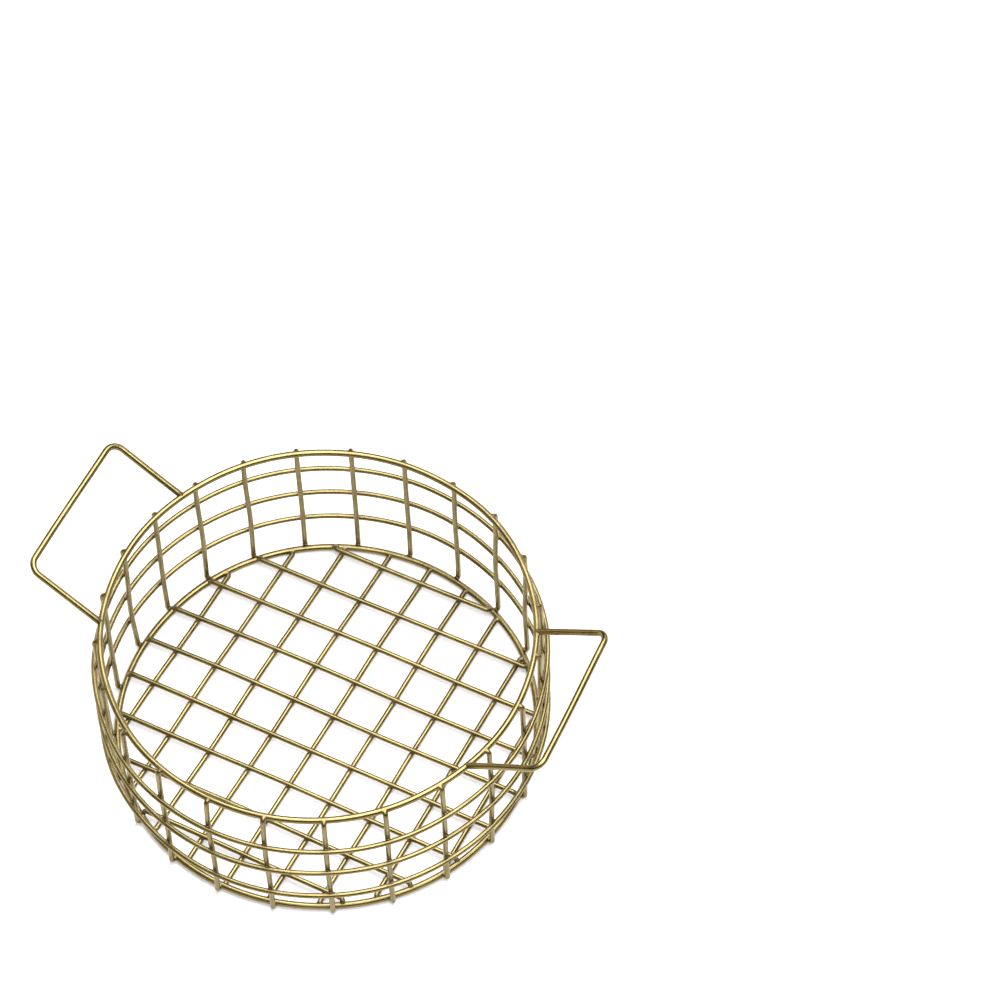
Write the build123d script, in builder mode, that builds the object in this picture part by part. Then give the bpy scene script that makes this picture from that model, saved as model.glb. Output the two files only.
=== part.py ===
from build123d import *
from math import asin, cos, degrees, hypot, radians, sin, sqrt
import os

# Round wire produce basket, 10 in across and 4 in deep, with two fixed side handles.
# Millimetres, +Z up. The origin is on the basket's axis, level with the table it stands on.
# +X points to the right handle. Bearings run anticlockwise from +X, seen from above.

# Wire stock
heavy_wire = 4.0
light_wire = 3.2
weld_bite = 0.3  # how far two crossing light wires sink into each other at a spot weld

# Rings of heavy wire
base_radius = 125.4
base_height = heavy_wire / 2
rim_radius = 127.0
rim_height = 102.3

# Uprights: light wire, on the outside of both rings, ends turned in to meet them. They are
# evenly spaced but for a gentle bunching round one side, as hand loading of a jig leaves them.
upright_count = 24
upright_turn = 2.5  # degrees that the whole set is turned from +X
upright_bunching = 3.5  # the most that an upright is shifted round the basket, in degrees
bunching_bearing = 70.0  # where that shift is greatest
upright_low_radius = 129.2
upright_top_radius = 130.2
upright_bend = 2.0

# Wall hoops of light wire, on the outside of the uprights
hoop_heights = {"lower": 26.0, "middle": 52.0, "upper": 77.0}

# Floor: one set of light wires level with the base ring, a second set laid across it. The wires
# of a set are evenly spaced. The set sits a little off the axis, leans a little from square, and
# fans out by the same small angle from each wire to the next. Angles are in degrees.
floor_height = base_height
cross_height = floor_height + light_wire - weld_bite
floor_count = 9
floor_pitch = 26.8
floor_shift = 1.5
floor_lean = -0.6
floor_fan = 0.3
cross_shift = 4.0
cross_lean = 1.0
cross_fan = 0.15
tip_length = 3.0  # the tips of a floor wire turn this far inside the base ring, to meet it squarely
straight_tip_angle = 4.0  # a wire that meets the ring closer to square than this has no bent tips
tip_bend_share = 0.7  # bend radius of a tip, as a share of the tip's length
cope_bar = 4 * light_wire  # length of the bar that shapes an upright's end
cope_start = 0.7  # a coped wire starts this far from the ring's centre line, inside the ring
cross_stop = 1.5  # the cross wires stop this far short of the base ring's centre line

# Handles: heavy wire bent to three sides of a rectangle, butted to the rim's outer side
handle_width = 99.0
handle_reach = 45.5
handle_rise = 27.5
handle_bend = 7.5
handle_bearings = {"right": 4.0, "left": 181.0}

os.makedirs("parts", exist_ok=True)


def save(part, name):
    part.label = name
    export_step(part, "parts/" + name + ".step")


def wire_ring(radius, height, diameter):
    """A closed ring of round wire about the basket's axis."""
    with BuildPart() as ring:
        with BuildSketch(Plane.XZ):
            with Locations((radius, height)):
                Circle(diameter / 2)
        revolve(axis=Axis.Z, revolution_arc=360)
    return ring.part


def bent_wire(points, bend, diameter, plane=Plane.XY, trim=()):
    """A round wire along points on a plane, with bent corners and ends coped to the trim solids."""
    with BuildPart() as wire:
        with BuildLine(plane) as run:
            if bend:
                FilletPolyline(*points, radius=bend)
            else:
                Polyline(*points)
        with BuildSketch(Plane(run.wire() @ 0, z_dir=run.wire() % 0)):
            Circle(diameter / 2)
        sweep(path=run.wire())
        for solid in trim:
            add(solid, mode=Mode.SUBTRACT)
    return wire.part


def cope_tool(radius, height, bearing):
    """A short straight bar along a ring where an upright meets it, to shape the upright's end."""
    turn = radians(bearing)
    spot = (radius * cos(turn), radius * sin(turn), height)
    with BuildPart(Plane(origin=spot, z_dir=(-sin(turn), cos(turn), 0))) as tool:
        Cylinder(heavy_wire / 2, cope_bar)
    return tool.part


def upright_radius(height):
    """Radius of the uprights' centre line at a height; they flare a little toward the rim."""
    share = (height - base_height) / (rim_height - base_height)
    return upright_low_radius + share * (upright_top_radius - upright_low_radius)


def upright_bearing(index):
    """Bearing of an upright, counted from zero."""
    even = 360 / upright_count * index
    return upright_turn + even + upright_bunching * cos(radians(even - bunching_bearing))


def floor_path(offset, lean, along_y):
    """Corner points of a floor wire, and whether its tips turn enough to need a bend."""
    across = (cos(radians(lean)), sin(radians(lean)))
    turn_radius = base_radius - tip_length
    tip_radius = base_radius - (cope_start if along_y else cross_stop)
    foot = offset * cos(radians(lean))
    half = sqrt(turn_radius**2 - foot**2)
    slide = offset * sin(radians(lean))
    if not along_y:
        start = (0, offset)
        direction = (across[0], across[1])
        slide = -slide
    else:
        start = (offset, 0)
        direction = (-across[1], across[0])
    ends = []
    for reach in (slide - half, slide + half):
        ends.append((start[0] + direction[0] * reach, start[1] + direction[1] * reach))
    tips = []
    for x, y in ends:
        scale = tip_radius / hypot(x, y)
        tips.append((x * scale, y * scale))
    turned = degrees(asin(abs(foot) / turn_radius)) > straight_tip_angle
    if turned:
        return (tips[0], ends[0], ends[1], tips[1]), True
    return (tips[0], tips[1]), False


# Rings
rim_ring = wire_ring(rim_radius, rim_height, heavy_wire)
base_ring = wire_ring(base_radius, base_height, heavy_wire)
save(rim_ring, "rim_ring")
save(base_ring, "base_ring")

# Wall hoops
for name, height in hoop_heights.items():
    hoop_radius = upright_radius(height) + light_wire - weld_bite
    save(wire_ring(hoop_radius, height, light_wire), "hoop_" + name)

# Uprights
for index in range(upright_count):
    bearing = upright_bearing(index)
    outward = (cos(radians(bearing)), sin(radians(bearing)), 0)
    side = (sin(radians(bearing)), -cos(radians(bearing)), 0)
    wall = Plane(origin=(0, 0, 0), x_dir=outward, z_dir=side)
    corners = (
        (base_radius + cope_start, base_height),
        (upright_low_radius, base_height),
        (upright_top_radius, rim_height),
        (rim_radius + cope_start, rim_height),
    )
    tools = (
        cope_tool(base_radius, base_height, bearing),
        cope_tool(rim_radius, rim_height, bearing),
    )
    upright = bent_wire(corners, upright_bend, light_wire, wall, tools)
    save(upright, f"upright_{index + 1:02d}")

# Floor mesh
floor_sets = (
    ("floor_wire", floor_shift, floor_lean, floor_fan, True, floor_height),
    ("cross_wire", cross_shift, cross_lean, cross_fan, False, cross_height),
)
for name, shift, lean, fan, along_y, height in floor_sets:
    for index in range(floor_count):
        place = index - (floor_count - 1) / 2
        offset = shift + floor_pitch * place
        points, turned = floor_path(offset, lean + fan * place, along_y)
        bend = tip_bend_share * tip_length if turned else 0
        level = Plane(origin=(0, 0, height))
        save(bent_wire(points, bend, light_wire, level, (base_ring,)), f"{name}_{index + 1:02d}")

# Handles
for name, bearing in handle_bearings.items():
    half = handle_width / 2
    root = sqrt(rim_radius**2 - half**2)
    turn = radians(bearing)
    length = hypot(handle_reach, handle_rise)
    lift = handle_rise / length
    away = handle_reach / length
    loop = Plane(
        origin=(root * cos(turn), root * sin(turn), rim_height),
        x_dir=(away * cos(turn), away * sin(turn), lift),
        z_dir=(-lift * cos(turn), -lift * sin(turn), away),
    )
    corners = ((0, half), (length, half), (length, -half), (0, -half))
    save(bent_wire(corners, handle_bend, heavy_wire, loop, (rim_ring,)), "handle_" + name)
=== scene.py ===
from math import atan2, cos, hypot, pi, radians, sin, sqrt

import bpy
import numpy as np
from mathutils import Matrix, Vector
from mathutils.bvhtree import BVHTree


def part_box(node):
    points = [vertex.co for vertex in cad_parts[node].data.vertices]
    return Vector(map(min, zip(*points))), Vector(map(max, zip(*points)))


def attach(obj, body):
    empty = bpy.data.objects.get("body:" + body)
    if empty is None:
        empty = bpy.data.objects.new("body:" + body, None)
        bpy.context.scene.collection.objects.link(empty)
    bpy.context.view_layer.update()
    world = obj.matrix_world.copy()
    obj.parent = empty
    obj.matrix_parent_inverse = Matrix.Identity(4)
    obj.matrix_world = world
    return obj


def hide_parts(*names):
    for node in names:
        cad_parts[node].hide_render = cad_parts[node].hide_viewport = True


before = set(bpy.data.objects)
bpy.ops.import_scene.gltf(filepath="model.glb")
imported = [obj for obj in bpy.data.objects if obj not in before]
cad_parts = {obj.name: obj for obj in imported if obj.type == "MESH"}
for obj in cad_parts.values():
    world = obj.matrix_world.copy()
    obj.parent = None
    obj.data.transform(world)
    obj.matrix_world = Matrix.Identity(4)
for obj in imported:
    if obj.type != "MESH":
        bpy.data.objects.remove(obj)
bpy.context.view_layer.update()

# Round wire produce basket. Metres, in the row frame: z = 0 is the table, +X points to the right
# handle, and bearings run anticlockwise from +X, seen from above.

rng = np.random.default_rng(20)

# --------------------------------------------------------------------------------------------
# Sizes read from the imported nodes
# --------------------------------------------------------------------------------------------


def ring_facts(node):
    """Centre-line radius, height and wire radius of a ring node."""
    lo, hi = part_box(node)
    wire = (hi[2] - lo[2]) / 2
    return (hi[0] - lo[0]) / 2 - wire, (hi[2] + lo[2]) / 2, wire


def spots_of(node):
    """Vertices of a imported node, one row each."""
    return np.array([v.co[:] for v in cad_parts[node].data.vertices])


def bearing_of(node):
    """Bearing of an upright or a handle, from the upper half of its node, in radians."""
    lo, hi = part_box(node)
    spots = spots_of(node)
    tall = spots[spots[:, 2] > (lo[2] + hi[2]) / 2]
    return atan2(tall[:, 1].mean(), tall[:, 0].mean())


def run_line(node, along):
    """Two points on the centre line of a floor wire's straight run. They are found by looking at
    the node from both sides, a quarter of the way in from each end."""
    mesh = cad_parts[node].data
    shape = BVHTree.FromPolygons([v.co for v in mesh.vertices], [f.vertices for f in mesh.polygons])
    lo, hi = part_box(node)
    across = 1 - along
    points = []
    for share in (0.25, 0.75):
        spot = (lo + hi) / 2
        spot[along] = lo[along] + share * (hi[along] - lo[along])
        sides = []
        for side in (-1, 1):
            start = spot.copy()
            start[across] = side * rim[0]
            way = Vector((0, 0, 0))
            way[across] = -side
            sides.append(shape.ray_cast(start, way)[0][across])
        spot[across] = sum(sides) / 2
        points.append(np.array(spot[:2]))
    return points


rim = ring_facts("rim_ring")
base = ring_facts("base_ring")
hoops = [(name, ring_facts(name)) for name in ("hoop_lower", "hoop_middle", "hoop_upper")]
light = hoops[0][1][2]
heavy = rim[2]

uprights = sorted(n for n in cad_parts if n.startswith("upright_"))
floor_wires = sorted(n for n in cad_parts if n.startswith("floor_wire_"))
cross_wires = sorted(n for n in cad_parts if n.startswith("cross_wire_"))
handles = ("handle_right", "handle_left")

# Bend radii, and how a wire's end meets a ring
handle_bend, upright_bend = 0.0075, 0.002
tip_length, tip_bend_share = 0.003, 0.7  # tips of floor wires, and their bend as a share of them
cope, cross_cope, cross_dip = 0.0007, 0.0017, 0.0006

# --------------------------------------------------------------------------------------------
# Paths
# --------------------------------------------------------------------------------------------


def rounded(corners, bend, step=0.004):
    """Points along a run of straight lines with arcs of one bend radius at its corners."""
    corners = [np.array(c, float) for c in corners]
    out = [corners[0]]
    for before, here, after in zip(corners, corners[1:], corners[2:]):
        a = (before - here) / np.linalg.norm(before - here)
        b = (after - here) / np.linalg.norm(after - here)
        angle = np.arccos(np.clip(a @ b, -1, 1))
        if angle > pi - 1e-3:
            continue
        cut = bend / np.tan(angle / 2)
        middle = (a + b) / np.linalg.norm(a + b)
        centre = here + middle * bend / np.sin(angle / 2)
        first = here + a * cut - centre
        last = here + b * cut - centre
        sweep = pi - angle
        count = max(3, int(sweep / radians(9)))
        for i in range(count + 1):
            t = i / count
            w = np.sin((1 - t) * sweep) * first + np.sin(t * sweep) * last
            out.append(centre + w / np.sin(sweep))
    out.append(corners[-1])
    path = [out[0]]
    for p, q in zip(out, out[1:]):
        parts = max(1, int(np.linalg.norm(q - p) / step))
        for i in range(1, parts + 1):
            path.append(p + (q - p) * i / parts)
    return np.array(path)


def ring_path(facts, count=288):
    turns = np.arange(count) * 2 * pi / count
    return np.stack([facts[0] * np.cos(turns), facts[0] * np.sin(turns), np.full(count, facts[1])], 1)


def upright_path(node):
    """An upright's run: out of the base ring, up the wall and in to the rim."""
    turn = bearing_of(node)
    out = np.array((cos(turn), sin(turn), 0))
    spots = spots_of(node)
    reach = spots @ out
    near_foot = spots[:, 2] < rim[1] / 4
    corners = [
        out * (base[0] + cope) + (0, 0, base[1]),
        out * (reach[near_foot].max() - light) + (0, 0, base[1]),
        out * (reach.max() - light) + (0, 0, rim[1]),
        out * (rim[0] + cope) + (0, 0, rim[1]),
    ]
    return rounded(corners, upright_bend)


def floor_path(node, along):
    """A floor wire's run along its node's line, with tips that turn to meet the base ring."""
    lo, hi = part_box(node)
    height = (lo[2] + hi[2]) / 2
    stop = base[0] - (cope if along else cross_cope)
    low = height - (0 if along else cross_dip)
    one, other = run_line(node, along)
    way = (other - one) / np.linalg.norm(other - one)
    foot = one - way * (one @ way)
    half = sqrt((base[0] - tip_length) ** 2 - foot @ foot)
    ends = [foot - way * half, foot + way * half]
    tips = [end * stop / np.linalg.norm(end) for end in ends]
    corners = [(*tips[0], low), (*ends[0], height), (*ends[1], height), (*tips[1], low)]
    return rounded(corners, tip_length * tip_bend_share)


def handle_path(node):
    """A handle's run: out and up from the rim, along its bar and back."""
    turn = bearing_of(node)
    out = np.array((cos(turn), sin(turn), 0))
    side = np.array((-sin(turn), cos(turn), 0))
    spots = spots_of(node)
    half = np.ptp(spots @ side) / 2 - heavy
    foot = out * sqrt(rim[0] ** 2 - half**2) + (0, 0, rim[1])
    far = out * ((spots @ out).max() - heavy) + (0, 0, spots[:, 2].max() - heavy)
    corners = [foot + side * half, far + side * half, far - side * half, foot - side * half]
    return rounded(corners, handle_bend)


# --------------------------------------------------------------------------------------------
# Meshes
# --------------------------------------------------------------------------------------------

drift_length, drift_size = 0.075, 0.00007
waves = [(rng.normal(size=3), rng.uniform(0, 2 * pi, 3), rng.normal(size=3)) for _ in range(14)]


def settle(points):
    """Slight unevenness of hand-bent wire. It depends only on place, so that joints stay closed."""
    shift = np.zeros_like(points)
    for direction, phase, push in waves:
        way = direction / np.linalg.norm(direction) * 2 * pi / drift_length
        shift += np.sin(points @ way + phase[0])[:, None] * push
    return points + shift * drift_size


def make(name, points, faces, near=None):
    mesh = bpy.data.meshes.new(name)
    mesh.from_pydata([tuple(p) for p in settle(points)], [], [tuple(int(i) for i in f) for f in faces])
    mesh.validate()
    mesh.shade_smooth()
    values = near if near is not None else np.ones(len(points))
    store = mesh.attributes.new("near_weld", "FLOAT", "POINT")
    store.data.foreach_set("value", values.astype(np.float32))
    mesh.materials.append(gold)
    obj = bpy.data.objects.new(name, mesh)
    bpy.context.scene.collection.objects.link(obj)
    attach(obj, "root")
    return obj


def tube(path, radius, closed=False, sides=24):
    """Vertices and faces of a round tube along a path, with softly rounded ends."""
    count = len(path)
    if closed:
        tangents = np.roll(path, -1, axis=0) - np.roll(path, 1, axis=0)
        radii = np.full(count, radius)
    else:
        lead = path[1] - path[0]
        lead /= np.linalg.norm(lead)
        tail = path[-1] - path[-2]
        tail /= np.linalg.norm(tail)
        turns = np.radians((80, 55, 30, 10))
        front = [path[0] + lead * radius * 0.35 * (1 - np.sin(t)) for t in turns]
        back = [path[-1] - tail * radius * 0.35 * (1 - np.sin(t)) for t in turns[::-1]]
        caps = [radius * (0.65 + 0.35 * np.cos(t)) if t < 1.3 else radius * 0.45 for t in turns]
        path = np.array(front + list(path[1:-1]) + back)
        radii = np.array(caps + [radius] * (count - 2) + caps[::-1])
        count = len(path)
        tangents = np.gradient(path, axis=0)
    tangents /= np.linalg.norm(tangents, axis=1)[:, None]
    normal = np.cross(tangents[0], (0.31, 0.17, 0.93))
    normal /= np.linalg.norm(normal)
    points = []
    for i in range(count):
        if closed:
            normal = path[i] * (1, 1, 0)
        normal = normal - tangents[i] * (normal @ tangents[i])
        normal /= np.linalg.norm(normal)
        other = np.cross(tangents[i], normal)
        for s in range(sides):
            a = 2 * pi * s / sides
            points.append(path[i] + radii[i] * (cos(a) * normal + sin(a) * other))
    faces = []
    spans = count if closed else count - 1
    for i in range(spans):
        j = (i + 1) % count
        for s in range(sides):
            t = (s + 1) % sides
            faces.append((i * sides + s, i * sides + t, j * sides + t, j * sides + s))
    if not closed:
        faces.append(tuple(range(sides))[::-1])
        faces.append(tuple((count - 1) * sides + s for s in range(sides)))
    return np.array(points), faces


def run_distance(grid, path, radius, closed, centre, reach):
    """Distance from each grid point to the part of a wire near the centre."""
    nexts = np.roll(path, -1, axis=0) if closed else path[1:]
    starts = path if closed else path[:-1]
    keep = np.linalg.norm((starts + nexts) / 2 - centre, axis=1) < reach
    best = np.full(len(grid), 1.0)
    for p, q in zip(starts[keep], nexts[keep]):
        way = q - p
        t = np.clip(((grid - p) @ way) / (way @ way), 0, 1)
        best = np.minimum(best, np.linalg.norm(grid - p - t[:, None] * way, axis=1))
    return best - radius


def weld(one, other, centre, blend, half=0.0062, cell=0.00042):
    """The fillet of metal and paint where two wires meet, as a closed skin just inside both wires
    away from the joint. Returns vertices and quads."""
    count = int(2 * half / cell)
    axis = (np.arange(count) - (count - 1) / 2) * cell
    grid = np.stack(np.meshgrid(axis, axis, axis, indexing="ij"), -1).reshape(-1, 3) + centre
    a = run_distance(grid, *one, centre, half * 2.4)
    b = run_distance(grid, *other, centre, half * 2.4)
    share = np.maximum(blend - np.abs(a - b), 0) / blend
    away = np.linalg.norm(grid - centre, axis=1)
    field = np.minimum(a, b) - share**2 * blend * 0.25 + 0.00006
    field = np.maximum(field, away - half * 0.93)
    value = field.reshape(count, count, count)
    inside = value < 0
    # One vertex in each cell that the surface passes through, at the mean of its edge crossings
    total = np.zeros((count - 1,) * 3 + (3,))
    hits = np.zeros((count - 1,) * 3)
    corners = [(i, j, k) for i in (0, 1) for j in (0, 1) for k in (0, 1)]
    for p in corners:
        for d in range(3):
            if p[d]:
                continue
            q = list(p)
            q[d] = 1
            cut = tuple(slice(c, count - 1 + c) for c in p)
            end = tuple(slice(c, count - 1 + c) for c in q)
            crossed = inside[cut] != inside[end]
            gap = value[cut] - value[end]
            t = np.where(crossed, value[cut] / np.where(gap == 0, 1, gap), 0)
            spot = np.zeros(total.shape)
            for e in range(3):
                spot[..., e] = p[e]
            spot[..., d] += t
            total += spot * crossed[..., None]
            hits += crossed
    used = hits > 0
    index = np.full(hits.shape, -1)
    index[used] = np.arange(used.sum())
    cells = np.argwhere(used)
    points = (cells + total[used] / hits[used][:, None]) * cell + axis[0] + centre
    faces = []
    for d in range(3):
        u, v = [e for e in range(3) if e != d]
        low = [slice(1, count - 1)] * 3
        low[d] = slice(0, count - 1)
        high = list(low)
        high[d] = slice(1, count)
        crossed = inside[tuple(low)] != inside[tuple(high)]
        where = np.argwhere(crossed)
        where[:, u] += 1
        where[:, v] += 1
        flip = inside[tuple(low)][crossed] ^ (d == 1)
        quads = []
        for du, dv in ((-1, -1), (0, -1), (0, 0), (-1, 0)):
            at = where.copy()
            at[:, u] += du
            at[:, v] += dv
            quads.append(index[at[:, 0], at[:, 1], at[:, 2]])
        quads = np.stack(quads, 1)
        quads[~flip] = quads[~flip][:, ::-1]
        faces.append(quads[(quads >= 0).all(axis=1)])
    return points, np.concatenate(faces)


# --------------------------------------------------------------------------------------------
# Material: satin gold lacquer over steel wire
# --------------------------------------------------------------------------------------------


def gold_material():
    mat = bpy.data.materials.new("gold_paint")
    mat.use_nodes = True
    nodes, links = mat.node_tree.nodes, mat.node_tree.links
    nodes.clear()

    def add(kind, **values):
        node = nodes.new(kind)
        for key, value in values.items():
            if key in node.inputs:
                node.inputs[key].default_value = value
            else:
                setattr(node, key, value)
        return node

    out = add("ShaderNodeOutputMaterial")
    shader = add("ShaderNodeBsdfPrincipled")
    shader.inputs["Metallic"].default_value = 1.0
    shader.inputs["Coat Weight"].default_value = 0.12
    shader.inputs["Coat Roughness"].default_value = 0.2
    links.new(shader.outputs[0], out.inputs["Surface"])
    place = add("ShaderNodeTexCoord")
    # Broad drift of the lacquer's tone along the wires
    drift = add("ShaderNodeTexNoise", Scale=55.0, Detail=3.0, Roughness=0.55)
    links.new(place.outputs["Object"], drift.inputs["Vector"])
    tone = add("ShaderNodeValToRGB")
    tone.color_ramp.elements[0].position = 0.3
    tone.color_ramp.elements[0].color = (0.195, 0.150, 0.048, 1)
    tone.color_ramp.elements[1].position = 0.72
    tone.color_ramp.elements[1].color = (0.28, 0.222, 0.084, 1)
    links.new(drift.outputs["Fac"], tone.inputs["Fac"])
    # Thicker, browner paint pooled at the welds
    weld_near = add("ShaderNodeAttribute", attribute_name="near_weld")
    mottle = add("ShaderNodeTexNoise", Scale=900.0, Detail=4.0, Roughness=0.6)
    links.new(place.outputs["Object"], mottle.inputs["Vector"])
    pool = add("ShaderNodeMath", operation="MULTIPLY")
    links.new(weld_near.outputs["Fac"], pool.inputs[0])
    spread = add("ShaderNodeMapRange")
    spread.inputs["From Min"].default_value = 0.25
    spread.inputs["From Max"].default_value = 0.7
    spread.inputs["To Min"].default_value = 0.35
    spread.inputs["To Max"].default_value = 0.8
    links.new(mottle.outputs["Fac"], spread.inputs["Value"])
    links.new(spread.outputs["Result"], pool.inputs[1])
    brown = add("ShaderNodeMix", data_type="RGBA")
    brown.inputs[7].default_value = (0.13, 0.088, 0.034, 1)
    links.new(pool.outputs[0], brown.inputs[0])
    links.new(tone.outputs["Color"], brown.inputs[6])
    links.new(brown.outputs[2], shader.inputs["Base Color"])
    # Roughness: satin, duller where the paint pooled
    dull = add("ShaderNodeMapRange")
    dull.inputs["From Min"].default_value = 0.3
    dull.inputs["From Max"].default_value = 0.7
    dull.inputs["To Min"].default_value = 0.20
    dull.inputs["To Max"].default_value = 0.31
    links.new(drift.outputs["Fac"], dull.inputs["Value"])
    extra = add("ShaderNodeMath", operation="MULTIPLY_ADD")
    extra.inputs[1].default_value = 0.12
    links.new(weld_near.outputs["Fac"], extra.inputs[0])
    links.new(dull.outputs["Result"], extra.inputs[2])
    links.new(extra.outputs[0], shader.inputs["Roughness"])
    # Fine orange peel and a slow unevenness in the drawn wire
    peel = add("ShaderNodeTexNoise", Scale=1500.0, Detail=3.0, Roughness=0.5)
    links.new(place.outputs["Object"], peel.inputs["Vector"])
    slow = add("ShaderNodeTexNoise", Scale=260.0, Detail=2.0, Roughness=0.4)
    links.new(place.outputs["Object"], slow.inputs["Vector"])
    fine = add("ShaderNodeBump", Strength=0.25, Distance=0.00006)
    links.new(peel.outputs["Fac"], fine.inputs["Height"])
    rough = add("ShaderNodeBump", Strength=0.3, Distance=0.00025)
    links.new(slow.outputs["Fac"], rough.inputs["Height"])
    links.new(fine.outputs["Normal"], rough.inputs["Normal"])
    links.new(rough.outputs["Normal"], shader.inputs["Normal"])
    return mat


gold = gold_material()

# --------------------------------------------------------------------------------------------
# The wires
# --------------------------------------------------------------------------------------------

wires = {}
wires["rim_ring"] = (ring_path(rim), heavy, True)
wires["base_ring"] = (ring_path(base), heavy, True)
for name, facts in hoops:
    wires[name] = (ring_path(facts), light, True)
for name in uprights:
    wires[name] = (upright_path(name), light, False)
for name in floor_wires:
    wires[name] = (floor_path(name, 1), light, False)
for name in cross_wires:
    wires[name] = (floor_path(name, 0), light, False)
for name in handles:
    wires[name] = (handle_path(name), heavy, False)

# --------------------------------------------------------------------------------------------
# The welds: (group, wire, wire, centre, blend)
# --------------------------------------------------------------------------------------------


def closest(one, other):
    """The least distance between the points of two wires' runs."""
    return np.linalg.norm(one[:, None] - other[None], axis=2).min()


def outside(name, facts):
    """A wire's run without the part of it that lies inside a ring."""
    path, radius, closed = wires[name]
    depth = np.hypot(np.hypot(path[:, 0], path[:, 1]) - facts[0], path[:, 2] - facts[1])
    return path[depth > facts[2] * 0.85], radius, closed


# How far a weld's centre lies from a wire's own end or centre line, as a share of its radius
# from the axis, and how far metal and paint spread round it
hoop_side, ring_side, floor_side = 1.0112, 1.013, 0.988
crossing_blend, ring_blend, floor_end_blend, handle_blend = 0.0008, 0.0009, 0.0012, 0.0016
handle_inset = 0.002
floor_weld_margin, floor_weld_gap = 0.004, 0.006

joints = []
for name in uprights:
    path = wires[name][0]
    for hoop, facts in hoops:
        at = path[np.abs(path[:, 2] - facts[1]).argmin()]
        spot = np.array((at[0], at[1], facts[1])) * (hoop_side, hoop_side, 1)
        joints.append(("welds_" + hoop, wires[name], wires[hoop], spot, crossing_blend))
    low, top = path[0] * (ring_side, ring_side, 1), path[-1] * (ring_side, ring_side, 1)
    joints.append(("welds_base_ring", outside(name, base), wires["base_ring"], low, ring_blend))
    joints.append(("welds_rim_ring", outside(name, rim), wires["rim_ring"], top, ring_blend))
for under, matching in zip(floor_wires, cross_wires):
    for name in (under, matching):
        path = wires[name][0]
        for tip in (path[0], path[-1]):
            spot = tip * (floor_side, floor_side, 1)
            run = outside(name, base)
            joints.append(("welds_floor_ends", run, wires["base_ring"], spot, floor_end_blend))
    for over in cross_wires:
        gap = closest(wires[under][0], wires[over][0])
        a, b = wires[under][0], wires[over][0]
        p, u = a[len(a) // 2], a[len(a) // 2 + 1] - a[len(a) // 2]
        q, v = b[len(b) // 2], b[len(b) // 2 + 1] - b[len(b) // 2]
        s = ((q[0] - p[0]) * v[1] - (q[1] - p[1]) * v[0]) / (u[0] * v[1] - u[1] * v[0])
        cross = p + s * u
        if hypot(cross[0], cross[1]) < base[0] - floor_weld_margin and gap < floor_weld_gap:
            middle = np.array((cross[0], cross[1], (p[2] + q[2]) / 2))
            joints.append(("welds_floor", wires[under], wires[over], middle, crossing_blend))
for name in handles:
    path = wires[name][0]
    for tip, inner in ((path[0], path[1]), (path[-1], path[-2])):
        way = (inner - tip) / np.linalg.norm(inner - tip)
        spot = tip + way * handle_inset
        joints.append(("welds_handles", outside(name, rim), wires["rim_ring"], spot, handle_blend))

pool_reach, pool_falloff = 0.0065, 1.2
centres = np.array([j[3] for j in joints])


def near_weld(points):
    """1 at a weld, falling to 0 a few millimetres away."""
    out = np.zeros(len(points))
    for centre in centres:
        out = np.maximum(out, 1 - np.linalg.norm(points - centre, axis=1) / pool_reach)
    return np.clip(out, 0, 1) ** pool_falloff


for name, (path, radius, closed) in wires.items():
    points, faces = tube(path, radius, closed)
    piece = make(name + "_wire", points, faces, near_weld(points))
    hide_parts(name)

weld_half, handle_weld_half = 0.0062, 0.0078
groups = {}
for group, one, other, centre, blend in joints:
    size = handle_weld_half if group == "welds_handles" else weld_half
    points, faces = weld(one, other, centre, blend * rng.uniform(0.75, 1.35), size)
    held = groups.setdefault(group, ([], [], [0]))
    held[0].append(points)
    held[1].append(faces + held[2][0])
    held[2][0] += len(points)
for group, (points, faces, _) in groups.items():
    points = np.concatenate(points)
    make(group, points, np.concatenate(faces), near_weld(points))

# --------------------------------------------------------------------------------------------
# Floor, light and camera
# --------------------------------------------------------------------------------------------

table = bpy.data.materials.new("pale_table")
table.use_nodes = True
surface = table.node_tree.nodes["Principled BSDF"]
surface.inputs["Base Color"].default_value = (0.62, 0.60, 0.55, 1)
surface.inputs["Roughness"].default_value = 0.9
surface.inputs["Emission Color"].default_value = (1, 1, 1, 1)
surface.inputs["Emission Strength"].default_value = 0.33
surface.inputs["Specular IOR Level"].default_value = 0.1
reach, sink = 6.0, -0.0004
floor_mesh = bpy.data.meshes.new("table_top")
table_corners = [(x * reach, y * reach, sink) for x, y in ((-1, -1), (1, -1), (1, 1), (-1, 1))]
floor_mesh.from_pydata(table_corners, [], [(0, 1, 2, 3)])
floor_mesh.materials.append(table)
floor = bpy.data.objects.new("table_top", floor_mesh)
bpy.context.scene.collection.objects.link(floor)

world = bpy.data.worlds.new("studio")
bpy.context.scene.world = world
world.use_nodes = True
sky, sky_links = world.node_tree.nodes, world.node_tree.links
sky.clear()
sky_out = sky.new("ShaderNodeOutputWorld")
sky_back = sky.new("ShaderNodeBackground")
sky_place = sky.new("ShaderNodeTexCoord")
sky_split = sky.new("ShaderNodeSeparateXYZ")
sky_ramp = sky.new("ShaderNodeValToRGB")
sky_links.new(sky_place.outputs["Generated"], sky_split.inputs["Vector"])
sky_links.new(sky_split.outputs["Z"], sky_ramp.inputs["Fac"])
sky_links.new(sky_ramp.outputs["Color"], sky_back.inputs["Color"])
sky_links.new(sky_back.outputs[0], sky_out.inputs["Surface"])
ramp = sky_ramp.color_ramp
ramp.elements[0].position = 0.0
ramp.elements[0].color = (0.11, 0.08, 0.045, 1)
ramp.elements[1].position = 1.0
ramp.elements[1].color = (0.75, 0.75, 0.74, 1)
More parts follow.
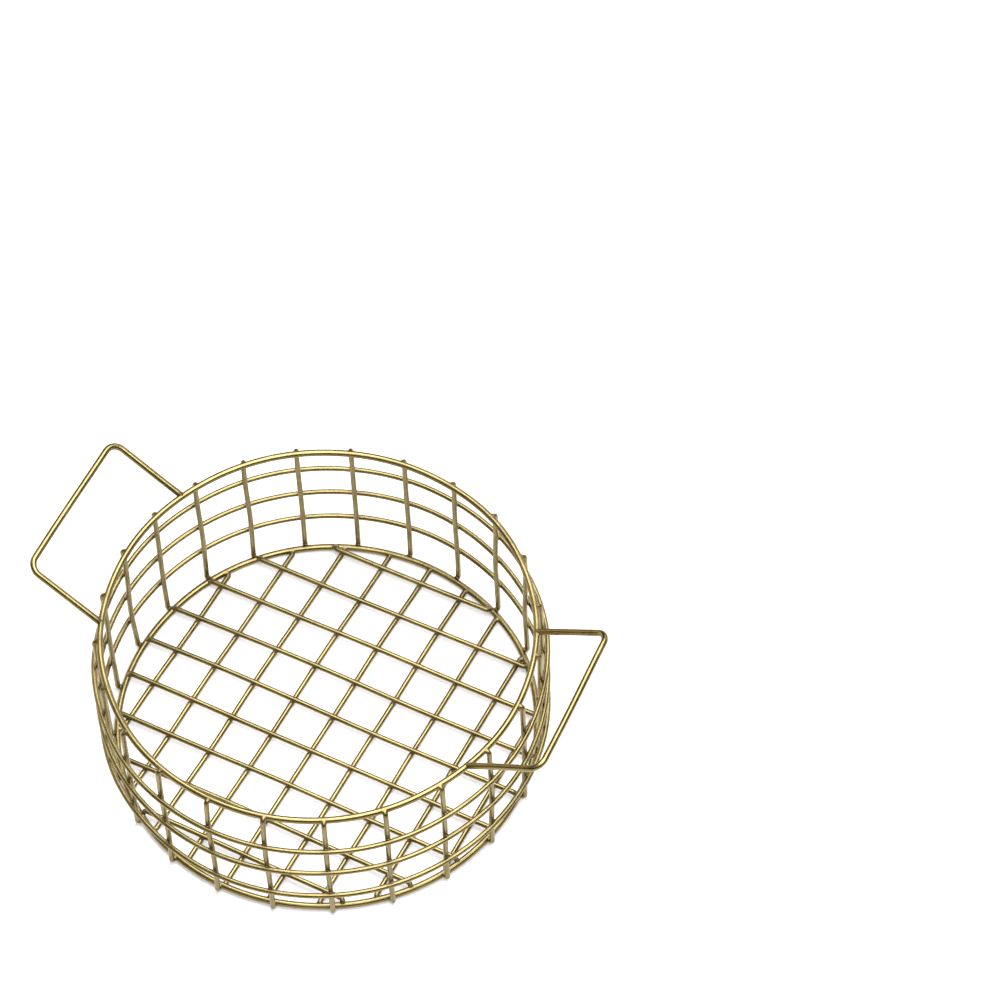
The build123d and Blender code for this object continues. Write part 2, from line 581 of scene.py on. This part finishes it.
step_low = ramp.elements.new(0.42)
step_low.color = (0.16, 0.12, 0.07, 1)
step_high = ramp.elements.new(0.72)
step_high.color = (0.55, 0.55, 0.53, 1)
sky_back.inputs["Strength"].default_value = 1.0


def softbox(name, place, target, size, power, colour):
    lamp = bpy.data.lights.new(name, "AREA")
    lamp.shape = "RECTANGLE"
    lamp.size, lamp.size_y = size
    lamp.energy = power
    lamp.color = colour
    obj = bpy.data.objects.new(name, lamp)
    bpy.context.scene.collection.objects.link(obj)
    obj.location = place
    obj.rotation_mode = "QUATERNION"
    obj.rotation_quaternion = (Vector(target) - Vector(place)).to_track_quat("-Z", "Y")
    return obj


cool, warm = (0.96, 1.0, 1.16), (1.0, 0.82, 0.55)
softbox("overhead", (0.2, 0.18, 1.6), (0, 0, 0.05), (2.1, 1.6), 66, cool)
softbox("rear", (0.4, 2.2, 1.0), (0, 0, 0.05), (2.2, 1.0), 10, cool)
softbox("side", (-2.3, 0.1, 0.65), (0, 0, 0.05), (1.6, 0.8), 7, warm)

# Camera: the view is set by bearing and height of eye, with a small roll
view_bearing, view_height, view_roll = radians(-60), radians(56.1), radians(-2.6)
view_distance, view_lens = 3.366, 201.7
aim = Vector((0.034, 0.159, 0.052))
ahead = Vector((cos(view_bearing), sin(view_bearing), 0))
back = ahead * cos(view_height) + Vector((0, 0, sin(view_height)))
right = Vector((-sin(view_bearing), cos(view_bearing), 0))
up = back.cross(right)
turned_right = right * cos(view_roll) + up * sin(view_roll)
turned_up = up * cos(view_roll) - right * sin(view_roll)
eye = bpy.data.cameras.new("camera")
eye.lens = view_lens
eye.sensor_width = 36
eye.clip_start, eye.clip_end = 0.05, 50
camera = bpy.data.objects.new("camera", eye)
bpy.context.scene.collection.objects.link(camera)
axes = Matrix((turned_right, turned_up, back)).transposed().to_4x4()
camera.matrix_world = Matrix.Translation(aim + back * view_distance) @ axes
bpy.context.scene.camera = camera

bpy.context.scene.view_settings.view_transform = "Standard"
bpy.context.scene.view_settings.look = "None"
